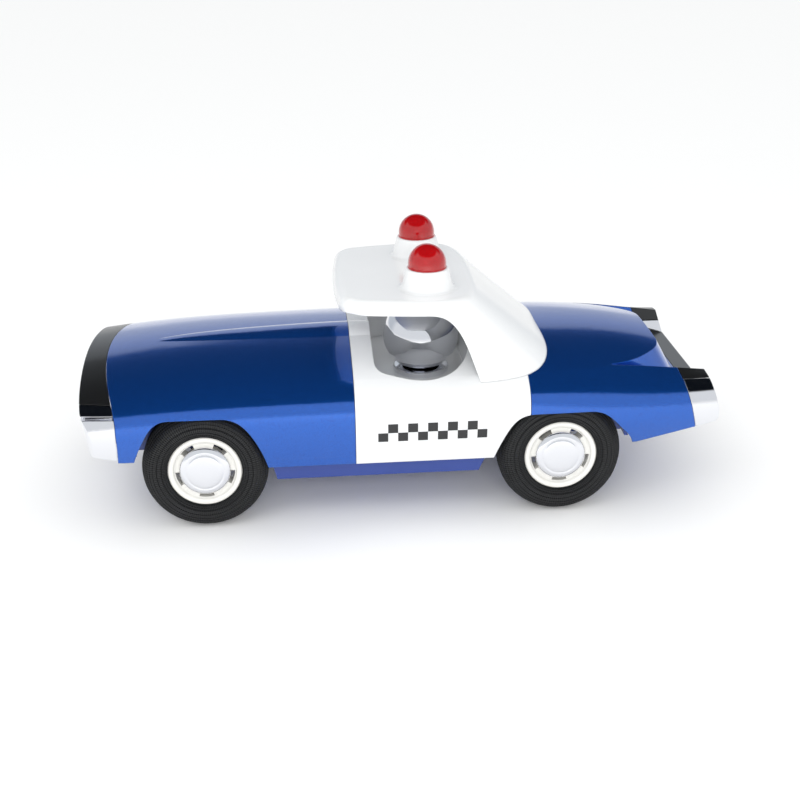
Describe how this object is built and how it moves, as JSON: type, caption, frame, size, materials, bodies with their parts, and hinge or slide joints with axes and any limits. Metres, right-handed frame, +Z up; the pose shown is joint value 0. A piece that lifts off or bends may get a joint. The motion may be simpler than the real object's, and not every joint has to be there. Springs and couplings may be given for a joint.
{
  "type": "toy police car",
  "caption": "Long-bonnet toy police car with an open canopy, twin roof beacons, a chrome driver and free-rolling rubber-tyred wheels.",
  "frame": {"origin": "centre of the footprint on the ground, midway along the length", "axes": "+Z up, -X towards the bonnet, -Y towards the car's own left side"},
  "size_m": [0.26, 0.1117, 0.109],
  "materials": {
    "blue_paint": "metallic blue paint under clear lacquer",
    "blue_plastic": "moulded-in blue, satin gloss",
    "white_plastic": "gloss white",
    "black_plastic": "satin black",
    "chrome_plate": "vacuum-plated chrome on plastic",
    "red_lens": "translucent red",
    "cream_plastic": "satin off-white",
    "tyre_rubber": "matt black rubber",
    "axle_steel": "drawn steel rod",
    "bush_plastic": "natural acetal",
    "housing_plastic": "black nylon",
    "screw_steel": "zinc plated"
  },
  "bodies": {
    "car": {"front_shell": "blue_paint", "cockpit_shell": "white_plastic", "rear_shell": "blue_paint", "base_pan": "blue_plastic", "front_bumper": "chrome_plate", "front_grille": "black_plastic", "rear_bumper_left": "chrome_plate", "rear_bumper_right": "chrome_plate", "fin_cap_left": "black_plastic", "fin_cap_right": "black_plastic", "rear_panel": "black_plastic", "canopy": "white_plastic", "beacon_pod_left": "white_plastic", "beacon_pod_right": "white_plastic", "beacon_lens_left": "red_lens", "beacon_lens_right": "red_lens", "driver_neck": "chrome_plate", "driver_head": "chrome_plate", "driver_helmet": "chrome_plate", "pan_screws": "screw_steel", "housing_screws": "screw_steel", "axle_housing_front": "housing_plastic", "axle_housing_rear": "housing_plastic", "axle_bush_front_left": "bush_plastic", "axle_bush_front_right": "bush_plastic", "axle_bush_rear_left": "bush_plastic", "axle_bush_rear_right": "bush_plastic"},
    "front_wheels": {"axle_front": "axle_steel", "tyre_front_left": "tyre_rubber", "rim_front_left": "cream_plastic", "hubcap_front_left": "chrome_plate", "tyre_front_right": "tyre_rubber", "rim_front_right": "cream_plastic", "hubcap_front_right": "chrome_plate"},
    "rear_wheels": {"axle_rear": "axle_steel", "tyre_rear_left": "tyre_rubber", "rim_rear_left": "cream_plastic", "hubcap_rear_left": "chrome_plate", "tyre_rear_right": "tyre_rubber", "rim_rear_right": "cream_plastic", "hubcap_rear_right": "chrome_plate"}
  },
  "joints": [
    {"name": "front_axle_spin", "type": "hinge", "parent": "car", "child": "front_wheels", "pos_m": [-0.08, 0, 0.0255], "axis": [0, 1, 0], "continuous": true},
    {"name": "rear_axle_spin", "type": "hinge", "parent": "car", "child": "rear_wheels", "pos_m": [0.065, 0, 0.0255], "axis": [0, 1, 0], "continuous": true}
  ]
}
